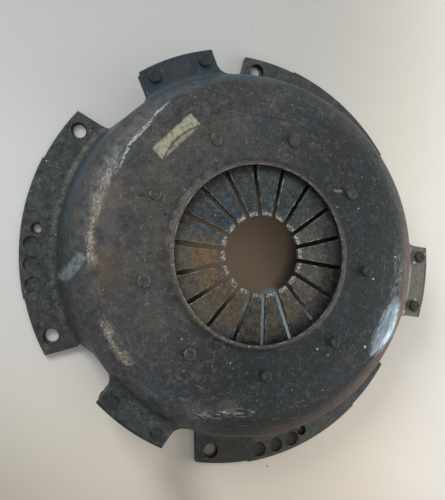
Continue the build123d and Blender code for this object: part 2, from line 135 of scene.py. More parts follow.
class Finish:
    """A procedural material, built on the object's own coordinates in millimetres."""

    def __init__(self, name, colour, ior=1.5):
        self.material = bpy.data.materials.new(name)
        self.material.use_nodes = True
        self.tree = self.material.node_tree
        self.shader = self.tree.nodes["Principled BSDF"]
        self.shader.inputs["IOR"].default_value = ior
        self.colour = tuple(colour)
        self.rough = 0.5
        coordinates = self.node("ShaderNodeTexCoord", {}, {})
        scaled = self.node("ShaderNodeVectorMath", {"operation": "SCALE"},
                           {"Vector": coordinates.outputs["Object"], "Scale": 1 / MM})
        self.place = scaled.outputs["Vector"]
        split = self.node("ShaderNodeSeparateXYZ", {}, {"Vector": self.place})
        self.x = Value(self, split.outputs["X"])
        self.y = Value(self, split.outputs["Y"])
        self.z = Value(self, split.outputs["Z"])
        self.radius = (self.x * self.x + self.y * self.y) ** 0.5

    def node(self, kind, settings, inputs):
        """Adds a node: its settings first, then the values or links of its sockets."""
        made = self.tree.nodes.new(kind)
        for name, setting in settings.items():
            setattr(made, name, setting)
        sockets = {socket.name: socket for socket in reversed(made.inputs)}
        sockets.update({socket.identifier: socket for socket in made.inputs})
        for name, value in inputs.items():
            self.feed(sockets[name], value)
        return made

    def feed(self, socket, value):
        """Links a socket to what makes its value, or sets it."""
        if isinstance(value, Value):
            value = value.socket
        if isinstance(value, bpy.types.NodeSocket):
            self.tree.links.new(value, socket)
        else:
            socket.default_value = value

    def math(self, operation, *values):
        """Adds a Math node."""
        names = ("Value", "Value_001", "Value_002")
        made = self.node("ShaderNodeMath", {"operation": operation}, dict(zip(names, values)))
        return Value(self, made.outputs["Value"])

    def most(self, first, second):
        """The larger of two numbers."""
        return self.math("MAXIMUM", first, second)

    def step(self, value, low, high):
        """Smooth step from 0 at low to 1 at high. A low above high turns it round."""
        made = self.node("ShaderNodeMapRange", {"interpolation_type": "SMOOTHSTEP"},
                         {"Value": value, "From Min": low, "From Max": high})
        return Value(self, made.outputs["Result"])

    def band(self, value, middle, half, blur):
        """1 within half of the middle, fading to 0 over the blur."""
        return self.step(abs(value - middle), half + blur, half)

    def sector(self, bearing, half, blur):
        """1 within half of a bearing from the axis, in degrees, fading over the blur."""
        lean = (self.x * cos(radians(bearing)) + self.y * sin(radians(bearing))) / self.radius
        return self.step(lean, cos(radians(half + blur)), cos(radians(half)))

    def vector(self, x, y, z=0.0):
        """Coordinates put together from three numbers."""
        return self.node("ShaderNodeCombineXYZ", {}, {"X": x, "Y": y, "Z": z}).outputs["Vector"]

    def arc(self, bearing):
        """Distance along the arc from a bearing, anticlockwise."""
        c, s = cos(radians(bearing)), sin(radians(bearing))
        angle = self.math("ARCTAN2", self.y * c - self.x * s, self.x * c + self.y * s)
        return angle * self.radius

    def noise(self, size, detail=4.0, rough=0.55, shift=0.0, where=None):
        """Cloudy pattern with features of about the given size, 0 to 1 round 0.5."""
        moved = self.node("ShaderNodeVectorMath", {"operation": "ADD"},
                          {"Vector": where or self.place, "Vector_001": (shift, shift, shift)})
        made = self.node("ShaderNodeTexNoise", {},
                         {"Vector": moved.outputs["Vector"], "Scale": 1 / size, "Detail": detail,
                          "Roughness": rough})
        return Value(self, made.outputs["Fac"])

    def streaks(self, bearing, along, across, shift=0.0):
        """Cloudy pattern drawn out along the arc, as rubbing leaves it."""
        where = self.vector(self.arc(bearing) / along, self.radius / across, self.z / across)
        return self.noise(1.0, detail=4, rough=0.6, shift=shift, where=where)

    def dots(self, spacing, largest, share, shift=0.0):
        """Scattered specks seen on the plan. Each has its own size, and only a share of them shows."""
        cells = self.node("ShaderNodeTexVoronoi", {"feature": "F1", "voronoi_dimensions": "2D"},
                          {"Vector": self.vector(self.x + shift, self.y + shift), "Scale": 1 / spacing})
        lots = self.node("ShaderNodeSeparateColor", {}, {"Color": cells.outputs["Color"]})
        drawn = self.step(Value(self, lots.outputs["Red"]), 1 - share, 1 - share + 0.02)
        reach = Value(self, lots.outputs["Green"]) * largest * drawn
        away = Value(self, cells.outputs["Distance"]) * spacing
        return self.step(away - reach, 0.15, -0.1)

    def scratches(self, bearing, length, width, spacing, share, shift=0.0):
        """Short straight scratches on the plan, all near one bearing."""
        c, s = cos(radians(bearing)), sin(radians(bearing))
        gap = length * 1.4
        where = self.vector((self.x * c + self.y * s) / gap + shift, (self.y * c - self.x * s) / spacing)
        cells = self.node("ShaderNodeTexVoronoi", {"feature": "F1", "voronoi_dimensions": "2D"},
                          {"Vector": where, "Scale": 1.0})
        away = self.node("ShaderNodeVectorMath", {"operation": "SUBTRACT"},
                         {"Vector": where, "Vector_001": cells.outputs["Position"]})
        offset = self.node("ShaderNodeSeparateXYZ", {}, {"Vector": away.outputs["Vector"]})
        lots = self.node("ShaderNodeSeparateColor", {}, {"Color": cells.outputs["Color"]})
        along = abs(Value(self, offset.outputs["X"])) * gap
        tilt = (Value(self, lots.outputs["Blue"]) - 0.5) * 0.5
        slant = Value(self, offset.outputs["X"]) * gap * tilt
        across = abs(Value(self, offset.outputs["Y"]) * spacing + slant)
        drawn = self.step(Value(self, lots.outputs["Red"]), 1 - share, 1 - share + 0.02)
        half = Value(self, lots.outputs["Green"]) * (length / 2)
        return drawn * self.step(along - half, 0.6, -0.6) * self.step(across, width, width / 3)

    def patch(self, centre, bearing, length, width, blur, ragged=0.0):
        """A straight patch on the plan, given by its centre, its bearing and its size."""
        c, s = cos(radians(bearing)), sin(radians(bearing))
        along = (self.x - centre[0]) * c + (self.y - centre[1]) * s
        across = (self.y - centre[1]) * c - (self.x - centre[0]) * s
        edge = (self.noise(2.2, detail=5, rough=0.7, shift=centre[0]) - 0.5) * ragged
        ends = self.step(abs(along) + edge, length / 2 + blur, length / 2 - blur)
        sides = self.step(abs(across) + edge, width / 2 + blur, width / 2 - blur)
        return ends * sides

    def blend(self, first, second, share):
        """Colour between two colours."""
        made = self.node("ShaderNodeMix", {"data_type": "RGBA"},
                         {"Factor_Float": share, "A_Color": first, "B_Color": second})
        return next(socket for socket in made.outputs if socket.identifier == "Result_Color")

    def tint(self, colour, share):
        """Lays a colour over the finish where the share is above 0."""
        self.colour = self.blend(self.colour, colour, share)

    def mix(self, first, second, share):
        """Number between two numbers."""
        return first + (second - first) * share

    def surface(self, metal, relief, depth):
        """Joins the colour, roughness, metal share and relief, whose depth is in millimetres."""
        self.feed(self.shader.inputs["Base Color"], self.colour)
        self.feed(self.shader.inputs["Roughness"], self.rough)
        self.feed(self.shader.inputs["Metallic"], metal)
        bump = self.node("ShaderNodeBump", {}, {"Height": relief, "Distance": depth * MM})
        self.feed(self.shader.inputs["Normal"], bump.outputs["Normal"])
        return self.material


# ---- finishes --------------------------------------------------------------------------------------
class Pressing(Finish):
    """Finish of the pressed cover, with the patterns and the zones that its layers share."""

    def __init__(self, look):
        super().__init__("blackened_pressing", look.oxide)
        self.mottle = self.noise(9, detail=6, rough=0.65, shift=12)
        self.grain = self.noise(4.0, detail=7, rough=0.8, shift=2)
        self.fleck = self.noise(1.8, detail=5, rough=0.75, shift=23)
        self.blotch = self.noise(20, detail=5, rough=0.6, shift=91)
        self.wander = self.radius + (self.noise(11, detail=3, shift=3) - 0.5) * 7
        self.thinned = self.step(self.noise(17, detail=6, rough=0.6, shift=55), 0.3, 0.62)
        self.left = self.step(self.x + (self.noise(38, detail=3) - 0.5) * 90, 30, -60)
        self.on_top = self.step(self.z, TOP_HEIGHT - 12, TOP_HEIGHT - 2)
        self.crown = self.step(self.radius, 98, 88) * self.on_top
        self.on_ear = self.step(self.radius, 106, 109) * self.step(self.z, 30, 31.5)
        self.on_flange = self.step(self.radius, 108, 112) * self.step(self.z, 12, 6)
        self.at_foot = self.step(self.z, 8, 5)
        self.level = self.most(self.step(self.radius, 101, 98), self.most(self.on_ear, self.on_flange))
        # masks that the layers fill in
        self.pits = self.rust = self.bare = None


def blacken(f, look):
    """Bluish on the right and behind, with painted shade on the right of the top; brown where the oxide
    has thinned, with a painted sheen on the left of the top.
    """
    f.tint(rgb(68, 75, 76), f.step(f.mottle, 0.4, 0.62) * 0.5)
    # brown where the oxide has thinned, laid on thicker on the left of the top as a painted sheen
    f.tint(tuple(look.haze), f.thinned * (0.15 + 0.75 * f.left * f.on_top))
    f.tint(rgb(46, 50, 53), f.step(f.blotch, 0.5, 0.68) * 0.35)
    # painted shade: the top inside the shoulder is darker and bluer on the right and lower right
    f.tint(rgb(14, 20, 25), f.crown * f.sector(340, 75, 50) * 0.7)
    f.tint(rgb(10, 15, 19), f.step(f.radius, 106, 92) * f.sector(290, 40, 30) * f.on_top * 0.35)
    f.tint(rgb(38, 52, 66), f.step(f.blotch, 0.54, 0.64) * (1 - f.left) * f.on_top * 0.35)
    f.tint(rgb(48, 58, 72), f.band(f.radius, 95, 7, 8) * f.sector(218, 26, 20) * 0.35)


def tone_edges(f):
    """A darker band by the upper ear, and the paler tones of the ears and the flange, with a painted
    highlight on the wall's foot and painted light on the left of the flange.
    """
    # darker by the upper ear
    darker_by_upper_ear = f.sector(118, 14, 12) * f.band(f.radius, 92, 8, 5) * f.step(f.z, 34, 40)
    f.tint(rgb(40, 42, 43), darker_by_upper_ear * 0.5)
    olive = f.on_ear * (0.25 + 0.75 * f.sector(RIGHT_EAR, 20, 8)) * f.step(f.mottle, 0.28, 0.46)
    f.tint(f.blend(rgb(64, 66, 60), rgb(106, 106, 97), f.sector(RIGHT_EAR, 20, 8)), olive)
    f.tint(rgb(30, 34, 35), f.on_ear * f.step(f.radius, 119.4, 120.4) * 0.7)
    f.tint(rgb(82, 78, 62), f.on_flange * f.sector(295, 20, 10) * f.thinned * 0.7)
    # painted highlight: a paler band on the fillet at the wall's foot
    foot = f.band(f.radius, 111, 1.4, 3) * f.step(f.z, 9, 7)
    f.tint(rgb(92, 92, 76), foot * f.step(f.blotch, 0.42, 0.58) * 0.25)
    # painted light: the flange lighter on the left
    f.tint(rgb(68, 72, 66), f.on_flange * f.step(f.x, -20, -70) * 0.45)


def grain_skin(f):
    """Grain, pits, grit, the faint scribed ring and a painted teal shade on the right of the top."""
    f.tint(rgb(116, 116, 108), f.step(f.grain, 0.48, 0.64) * 0.38)
    fine = f.noise(1.2, detail=5, rough=0.8, shift=64)
    f.tint(rgb(136, 134, 124), f.step(fine, 0.57, 0.7) * f.level * 0.4)
    f.tint(rgb(14, 15, 16), f.step(fine, 0.45, 0.33) * f.level * 0.5)
    f.pits = f.most(f.step(f.grain, 0.47, 0.36) * 0.8, f.dots(5.5, 0.7, 0.3, shift=140) * f.level)
    f.tint(rgb(16, 18, 19), f.pits * 0.72)
    scribed = f.band(f.radius, 79.3, 0.15, 0.4) * f.sector(92, 46, 8) * f.on_top
    f.tint(rgb(22, 23, 23), scribed * 0.5)
    grit = f.most(f.dots(2.6, 0.42, 0.35, shift=33), f.dots(4.1, 0.6, 0.25, shift=57))
    grit = grit * f.step(f.mottle, 0.36, 0.54)
    f.tint(rgb(142, 141, 130), grit * f.level * f.mix(0.5, 0.3, f.step(f.x, 0, 40)))
    # painted shade: teal darkening of the top on the right
    f.tint(rgb(20, 36, 40), f.crown * f.sector(335, 55, 35) * 0.34)


def darken_edges(f):
    """The dark upper ear, a darker band low on the shoulder, and dirt on the flange."""
    dark_ear = f.on_ear * f.sector(UPPER_EAR, 16, 6)
    f.tint(rgb(20, 23, 21), dark_ear * 0.55)
    brown = f.step((f.x + 61) ** 2 + (f.y - 98) ** 2, 160, 20) * f.step(f.mottle, 0.38, 0.52)
    f.tint(rgb(70, 52, 44), dark_ear * brown * 0.6)
    f.rough = 0.5 + (f.mottle - 0.5) * 0.3 + (f.grain - 0.5) * 0.35
    f.rough = f.mix(f.rough, 0.8, dark_ear)
    # darker low on the shoulder, on the lower right
    low = f.band(f.radius, 99, 5, 4) * f.sector(-62, 30, 14) * f.step(f.z, 20, 30)
    f.tint(rgb(30, 26, 21), low * 0.75)
    warm = f.band(f.radius, 98.5, 2.5, 2) * f.sector(4, 10, 8) * f.on_top
    f.tint(rgb(66, 52, 40), warm * 0.5)
    tarry = f.on_flange * f.sector(274, 6, 6) * f.step(f.radius, 111, 114)
    f.tint(rgb(14, 14, 12), tarry * 0.6)


def rust_edges(f, look):
    """Rust on the right shoulder, by one bolt hole and in specks."""
    rim = f.band(f.radius, 102.6, 2.6, 2.6) * f.step(f.z, 35, 41)
    rim = rim * f.most(f.sector(-10, 32, 12), f.sector(-50, 24, 20) * 0.45)
    f.rust = rim * (0.35 + 0.65 * f.step(f.noise(6, detail=6, rough=0.7, shift=7), 0.36, 0.56)) * 0.8
    hole = f.sector(94, 4, 2) * f.step(f.radius, 118, 122) * f.at_foot
    f.rust = f.most(f.rust, hole * f.step(f.mottle, 0.42, 0.6) * 0.5)
    specks = f.step(f.noise(3.0, detail=5, rough=0.7, shift=71), 0.64, 0.72)
    f.rust = f.most(f.rust, specks * 0.35)
    f.tint(tuple(look.rust), f.rust * 0.8)
    f.rough = f.mix(f.rough, 0.8, f.rust)


def clog_holes(f):
    """Painted shade on the walls of the bolt holes and the dowel holes, and dark dirt filling the
    drillings of the flange.
    """
    bearing = f.math("ARCTAN2", f.y, f.x)
    off_bolt = pi / BOLTS - f.math("PINGPONG", bearing, pi / BOLTS)
    wide = f.step((f.radius - BOLT_CIRCLE) ** 2 + (f.radius * off_bolt) ** 2, 5.0 ** 2, 4.5 ** 2)
    off_dowel = f.math("PINGPONG", bearing + pi / DOWELS, pi / DOWELS)
    narrow = f.step((f.radius - BOLT_CIRCLE) ** 2 + (f.radius * off_dowel) ** 2, 3.5 ** 2, 3.0 ** 2)
    # painted shade on the walls of the bolt and dowel holes; the drillings are filled with dirt
    hole_wall_shade = f.most(wide, narrow) * f.at_foot
    filled = f.band(f.radius, 123.3, 4.4, 1) * f.sector(290.6, 7.6, 0.8) * f.at_foot
    f.tint(rgb(34, 28, 24), f.most(hole_wall_shade * 0.85, filled * 0.4))
    f.tint(rgb(62, 57, 45), filled * f.step(f.z, 3.0, 2.4) * f.step(f.mottle, 0.3, 0.5))


def tint_shoulder(f):
    """Blue and reddish casts on the wall and on the left shoulder."""
    wall = f.sector(134, 34, 15) * f.step(f.radius, 99, 103) * f.step(f.z, 8, 14) * f.step(f.z, 40, 32)
    f.tint(rgb(78, 98, 112), wall * 0.5)
    bend = f.sector(113, 20, 8) * f.band(f.radius, 103.5, 3, 2) * f.step(f.z, 24, 34)
    f.tint(rgb(78, 98, 110), bend * 0.4)
    reddish = f.patch((-85, -20), 100, 24, 12, 7, ragged=5) * f.step(f.z, 44, 47)
    f.tint(rgb(88, 68, 50), reddish * 0.55)
    bluish = f.patch((-87, 2), 90, 14, 8, 5, ragged=4) * f.step(f.z, 44, 47)
    f.tint(rgb(52, 66, 86), bluish * 0.5)


def shoulder_scuffs(f):
    """Masks of the left shoulder: the bright line, the scuffs, the glints and a painted bluish sheen round
    them.
    """
    bowed = f.radius + f.arc(144) * 0.13 + (f.noise(18, detail=2, shift=3) - 0.5) * 5
    line = f.band(bowed, 95.2, 0.05 + f.sector(146, 5, 8) * 0.4, 0.85) * f.sector(145, 8, 9)
    line = line * f.step(f.streaks(180, 3, 0.8) + (f.fleck - 0.5) * 0.8, 0.4, 0.58)
    scuffed = f.band(f.wander, 95.2, 0.6, 3.8) * f.sector(191, 32, 8) * (1 - f.sector(200, 5, 6) * 0.75)
    torn = f.streaks(180, 2.6, 1.0, shift=9) + (f.fleck - 0.5) * 0.5 + scuffed * 0.1
    scuff = scuffed * f.step(torn, 0.5, 0.8) * f.step(f.noise(9, detail=3, shift=18), 0.36, 0.56)
    scuff = scuff + scuffed * 0.25 * f.step(f.mottle, 0.4, 0.6)
    sparkle = f.noise(1.1, detail=4, rough=0.75, shift=12)
    glint = f.band(f.radius, 96.0, 0.3, 3.0) * f.sector(184, 3, 7)
    glint = f.most(glint, f.band(f.radius, 96.6, 0.3, 3.2) * f.sector(218, 5, 7))
    glint = f.step(sparkle + glint * 0.2, 0.64, 0.76) * f.step(glint, 0.05, 0.4)
    # painted sheen: a bluish haze round the bright line
    haze = f.band(f.radius, 97.4, 1.2, 4.5) * f.sector(148, 16, 14)
    haze = haze * f.step(f.streaks(180, 12, 1.5, shift=31), 0.3, 0.7)
    return line, scuff, glint, haze


def shoulder_polish_and_glare(f):
    """Mask of the polished patch on the right shoulder, with a painted glare on it, which has the outline
    of a lens.
    """
    lens = (1 - (f.arc(-20) / 22) ** 2) * 6.8
    polish_and_glare = f.step(abs(f.radius - 93.8) - lens + (f.streaks(0, 5, 0.8, shift=61) - 0.5) * 9, 1.5, -2.5)
    polish_and_glare = polish_and_glare * f.step(abs(f.arc(-20)), 22, 19) * f.on_top * f.step(f.x, 0, 30)
    return polish_and_glare * (0.4 + 0.6 * f.step(f.streaks(0, 9, 0.8, shift=44), 0.38, 0.6))


def bare_metal(f, look):
    """Steel rubbed bare: the shoulder's marks, a scrape low on the top, scratches and a flange's edge,
    with a painted glare and a painted sheen.
    """
    # a paler rubbed band on the left shoulder, lighter as a painted sheen
    rubbed = f.band(f.radius, 89.5, 4, 4) * f.sector(178, 14, 8) * f.step(f.mottle, 0.34, 0.56)
    f.tint(rgb(112, 103, 92), rubbed * 0.4)
    blued = f.band(f.radius, 98.3, 0.3, 1.2) * f.sector(237, 2.2, 2) * f.step(f.fleck, 0.36, 0.5)
    f.tint(rgb(104, 118, 140), blued * 0.4)
    keel = f.band(f.radius - f.arc(324) * 0.1, 119.2, 0.1, 0.5) * f.sector(324, 6, 2)
    keel = keel * f.step(f.z, 9, 5) * f.step(f.z, 2, 3)
    f.tint(rgb(170, 164, 146), keel * f.step(f.mottle, 0.4, 0.52) * 0.7)
    line, scuff, glint, haze = shoulder_scuffs(f)
    polish_and_glare = shoulder_polish_and_glare(f)
    scrape = f.patch((-11, -91), 8, 36, 4, 2.4, ragged=7) * f.step(f.streaks(-90, 5, 0.9), 0.5, 0.62)
    smudge = f.patch((-16, -88), 8, 30, 6, 4, ragged=6) * f.step(f.mottle, 0.4, 0.55)
    thin = f.most(f.scratches(25, 5, 0.16, 12, 0.1), f.scratches(115, 4, 0.14, 11, 0.12, shift=7.3))
    arcs = f.band(f.radius, 92, 10, 6) * f.step(f.streaks(90, 9, 0.5, shift=77), 0.64, 0.72) * 0.5
    side = f.band(f.wander, 92, 1.5, 3.5) * f.sector(1, 6, 7)
    side = side * f.step(f.streaks(0, 3, 1.2, shift=15), 0.4, 0.66)
    marks = (line, scuff * 0.85, scrape * 0.5, arcs, thin * f.level * 0.35, side * 0.3, glint * 0.8)
    f.bare = reduce(f.most, marks)
    worn = f.blend(tuple(look.bare), rgb(196, 182, 160), f.sector(205, 34, 20))
    # painted sheen round the bright line
    f.tint(rgb(108, 120, 134), haze * 0.18)
    f.tint(rgb(98, 96, 84), smudge * 0.5)
    f.tint(worn, f.bare * 0.8)
    # painted glare on the polished patch
    f.tint(rgb(158, 176, 190), polish_and_glare * 0.8)
    f.bare = f.most(f.bare, polish_and_glare)
    f.rough = f.mix(f.rough, 0.34, f.bare)


def stick_dirt(f):
    """Dirt stuck to the top: a chip, a smear by a rivet and two hairs."""
    chip = f.patch((44.5, 44.9), 8, 5.5, 1.4, 0.5, ragged=2.5) * f.step(f.z, TOP_HEIGHT - 1, TOP_HEIGHT)
    f.tint(rgb(156, 134, 104), chip * 0.85)
    smear = f.patch((63.9, -52.8), 30, 5, 3, 1.2, ragged=3)
    f.tint(rgb(88, 68, 50), smear * f.step(f.fleck, 0.36, 0.5) * 0.7)
    right_hair = f.patch((43.5, 53), 96, 17, 0.3, 0.3, ragged=0.7)
    left_hair = f.patch((-57.5, 35.4), 58, 8, 0.3, 0.3, ragged=0.5)
    f.tint(rgb(126, 106, 80), f.most(right_hair, left_hair) * 0.55)


def wear_lip(f):
    """The lip: a worn brown land with a bright inner corner."""
    land = f.step(f.z, TOP_HEIGHT + 1.4, TOP_HEIGHT + 1.9)
    f.tint(rgb(100, 87, 77), land * (0.45 + 0.4 * f.step(f.mottle, 0.4, 0.6)))
    f.tint(rgb(50, 47, 44), land * f.sector(20, 70, 40) * 0.45)
    corner = land * f.band(f.radius, 51.5, 0.3, 0.3)
    corner = corner * f.step(f.noise(4, detail=5, rough=0.7, shift=5), 0.46, 0.6)
    corner = f.most(corner * 0.6, land * f.sector(218, 26, 20) * f.step(f.fleck, 0.54, 0.64))
    f.tint(rgb(186, 180, 170), corner * 0.7)
    f.bare = f.most(f.bare, corner)


def paint_over(f, look):
    """Paint and dust: a pale stripe on top, a dab low on the wall, and spatter."""
    stripe = f.patch((-57, 57), 51.3, 30, 8.4, 0.5, ragged=1.6)
    worn = 0.35 + 0.65 * f.step(f.noise(2.6, detail=6, rough=0.75, shift=8), 0.4, 0.52)
    lengthwise = (f.x + 57) * 0.625 + (f.y - 57) * 0.78
    bow = (f.x + 57) * 0.78 - (f.y - 57) * 0.625 - 1.0 - lengthwise ** 2 * 0.0153
    gap = f.step(abs(bow) + (f.fleck - 0.5) * 1.2, 0.8, 0.35)
    f.tint(rgb(66, 68, 60), f.patch((-52.6, 53.4), 51, 22, 3.4, 1.4, ragged=3) * 0.4)
    stripe = stripe * worn * (1 - gap * 0.85) * (1 - f.step(bow, 0, 0.8) * 0.35)
    f.tint(tuple(look.stripe), stripe * 0.95)
    dab = f.patch((-101.8, -21), 62, 15, 5.2, 0.9, ragged=3.4) * f.step(f.z, 6, 9)
    dab = dab * (0.35 + 0.65 * f.step(f.noise(4, detail=5, rough=0.7, shift=66), 0.4, 0.56))
    f.tint(tuple(look.dab), dab * 0.85)
    dust = f.most(f.dots(15, 0.8, 0.2) * f.step(f.x, 0, 40), f.dots(10, 0.45, 0.15, shift=60)) * f.level
    ear_dust = f.dots(4, 0.9, 0.45, shift=220) * f.sector(RIGHT_EAR, 14, 2) * f.step(f.radius, 107, 109)
    dust = f.most(dust, ear_dust)
    f.tint(rgb(206, 206, 196), dust * 0.75)
    paint = f.most(f.most(stripe, dab), dust)
    f.rough = f.mix(f.rough, 0.62, paint)
    return paint


def cover_finish(look):
    """Blackened pressing, laid on in layers from the oxide up to the dust."""
    f = Pressing(look)
    blacken(f, look)
    tone_edges(f)
    grain_skin(f)
    darken_edges(f)
    rust_edges(f, look)
    clog_holes(f)
    tint_shoulder(f)
    bare_metal(f, look)
    stick_dirt(f)
    wear_lip(f)
    paint = paint_over(f, look)
    metal = f.mix(f.mix(0.45, 0.9, f.bare), 0.0, f.most(paint, f.rust * 0.8))
    relief = f.grain * 2.0 + f.mottle * 0.8 + paint * 0.5 - f.bare * 0.3 - f.pits * 0.4
    return f.surface(metal, relief, depth=0.18)


def spring_finish(look):
    """Oiled spring steel: blue and brown oxide by turns, bright slot edges and worn fingertips, with
    painted shade from the lip and a painted sheen.
    """
    f = Finish("oiled_spring_steel", look.oil)
    cloud = f.noise(14, detail=4)
    grain = f.noise(3.2, detail=7, rough=0.8)
    mottle = f.noise(5, detail=6, rough=0.65, shift=9)
    behind = f.step(f.y - f.x * 0.5 + (cloud - 0.5) * 20, 4, 22)
    finger = f.math("FLOOR", f.math("ARCTAN2", f.y, f.x) * (FINGERS / 2 / pi))
    lot = f.noise(1.0, detail=0, where=f.vector(finger * 3.7, 4.1))
    f.tint(rgb(50, 63, 68), behind * 0.85)
    f.tint(rgb(28, 34, 38), f.step(lot, 0.42, 0.62) * 0.3)
    f.tint(rgb(34, 35, 32), f.sector(315, 58, 24) * 0.35)
    # painted shadow of the lip on the fingers at the upper left
    f.tint(rgb(50, 46, 38), f.sector(130, 32, 16) * f.step(f.radius, 42, 46) * 0.6)
    # a warm tone, lighter as a painted sheen
    warm = f.sector(217, 32, 22) * f.step(f.radius, 58, 48)
    f.tint(rgb(98, 88, 74), warm * 0.75)
    blue = f.sector(140, 12, 14) * f.step(f.radius, 46, 34)
    f.tint(rgb(42, 58, 78), blue * f.step(mottle, 0.36, 0.56) * 0.5)
    rubbed = f.sector(199, 18, 8) * f.band(f.radius, 34, 5.5, 2) * f.step(mottle, 0.38, 0.58)
    f.tint(rgb(156, 114, 66), rubbed * (0.42 + 0.45 * f.step(grain, 0.44, 0.58)))
    brown = f.sector(255, 70, 18) * f.band(f.radius, 33, 8, 6)
    f.tint(rgb(92, 64, 30), brown * (0.12 + 0.3 * f.step(mottle, 0.42, 0.58)))
    outer = f.step(f.radius, 41, 48)
    f.tint(rgb(40, 50, 53), outer * f.sector(320, 62, 20) * 0.6)
    f.tint(rgb(88, 98, 98), outer * f.sector(50, 40, 20) * 0.45)
    f.tint(rgb(112, 102, 84), outer * f.sector(229, 9, 4) * 0.4)
    f.tint(rgb(26, 28, 28), f.most(f.sector(270, 9, 2), f.sector(350, 9, 2)) * 0.35)
    # painted shade on the fingers' outer ends, under the lip
    f.tint(rgb(30, 32, 32), f.step(f.radius, 46, 53) * 0.3)
    f.tint(rgb(84, 76, 62), f.step(mottle, 0.48, 0.6) * (1 - behind) * 0.4)
    fine = f.noise(1.2, detail=5, rough=0.8, shift=41)
    f.tint(rgb(122, 118, 104), f.step(grain, 0.47, 0.66) * 0.4)
    f.tint(rgb(20, 21, 21), f.step(grain, 0.48, 0.33) * 0.7)
    f.tint(rgb(146, 142, 128), f.step(fine, 0.56, 0.68) * 0.6)
    f.tint(rgb(16, 17, 17), f.step(fine, 0.46, 0.34) * 0.7)
    bearing = f.math("ARCTAN2", f.y, f.x)
    off_slot = f.math("PINGPONG", bearing, pi / FINGERS)
    beside = f.math("SINE", off_slot) * f.radius - SLOT / 2
    edge = f.step(beside, 0.55, 0.15) * f.step(f.noise(3.5, detail=5, rough=0.7, shift=3), 0.48, 0.62)
    tip = f.step(f.radius + (f.noise(3.2, detail=5, rough=0.75) - 0.5) * 5, TIP + 3.2, TIP + 1.4)
    worn = f.most(edge * 0.6, tip * f.step(f.noise(1.5, detail=5, rough=0.75, shift=30), 0.46, 0.56) * 0.8)
    worn = f.most(worn, f.dots(7, 0.5, 0.3) * 0.5)
    f.tint(tuple(look.worn), worn * 0.8)
    f.rough = 0.46 + (mottle - 0.5) * 0.3 + (grain - 0.5) * 0.3
    f.rough = f.mix(f.rough, 0.28, worn)
    metal = f.mix(0.4, 0.95, worn)
    return f.surface(metal, grain + mottle - worn * 0.4, depth=0.12)


def iron_finish(look):
    """Grey iron: sand-cast skin above, turned and heat-marked friction face below."""
    f = Finish("grey_iron", look.iron)
    skin = f.noise(1.6, detail=6, rough=0.7)
    mottle = f.noise(12, detail=5, shift=9)
    f.tint(rgb(96, 78, 62), f.step(mottle, 0.42, 0.62) * 0.7)
    f.tint(rgb(30, 28, 26), f.step(skin, 0.46, 0.3) * 0.5)
    face = f.step(f.z, FRICTION_HEIGHT + 0.6, FRICTION_HEIGHT + 0.2)
    rings = f.math("SINE", f.radius * 2 * pi / 0.7 + (f.noise(9) - 0.5) * 1.5)
    swept = f.noise(1.0, detail=5, rough=0.65, where=f.vector(f.x / 45, f.y / 45, f.radius / 2.4))
    ground = f.blend(rgb(132, 130, 126), rgb(166, 162, 156), f.step(rings, -1, 1))
    ground = f.blend(ground, rgb(104, 102, 98), f.step(swept, 0.44, 0.64) * 0.6)
    heat = f.sector(40, 24, 30) + f.sector(170, 20, 28) + f.sector(285, 26, 30)
    ground = f.blend(ground, rgb(92, 92, 108), heat * f.band(f.radius, 85, 6, 9) * (0.2 + swept * 0.5))
    stained = f.step(f.noise(11, detail=6, rough=0.7, shift=5), 0.56, 0.7)
    ground = f.blend(ground, rgb(122, 90, 62), stained * 0.45)
    f.tint(ground, face)
    f.rough = f.mix(0.72 + (skin - 0.5) * 0.3, 0.34 + (mottle - 0.5) * 0.2, face)
    metal = f.mix(0.35, 0.95, face)
    relief = f.mix(skin * 2.5, rings * 0.12, face)
    return f.surface(metal, relief, depth=0.12)


def strap_finish(look):
    """Rolled spring strip with a faint grain along the leaf."""
    f = Finish("rolled_strip", look.strip)
    grain = f.noise(0.7, detail=5, rough=0.7)
    mottle = f.noise(5, detail=5, shift=4)
    f.tint(rgb(112, 92, 72), f.step(mottle, 0.52, 0.66) * 0.7)
    f.tint(rgb(44, 46, 50), f.step(grain, 0.46, 0.3) * 0.5)
    f.rough = 0.38 + (mottle - 0.5) * 0.3 + (grain - 0.5) * 0.2
    return f.surface(f.mix(0.9, 0.5, f.step(mottle, 0.52, 0.66)), grain, depth=0.04)


def wire_finish(look):
    """Drawn wire with a fine grain and brown stains."""
    f = Finish("drawn_wire", look.strip)
    draw = f.noise(0.5, detail=4, rough=0.7)
    mottle = f.noise(6, detail=5, shift=4)
    f.tint(rgb(88, 72, 58), f.step(mottle, 0.48, 0.64) * 0.8)
    f.rough = 0.36 + (mottle - 0.5) * 0.4 + (draw - 0.5) * 0.2
    return f.surface(f.mix(0.9, 0.4, f.step(mottle, 0.48, 0.64)), draw, depth=0.04)


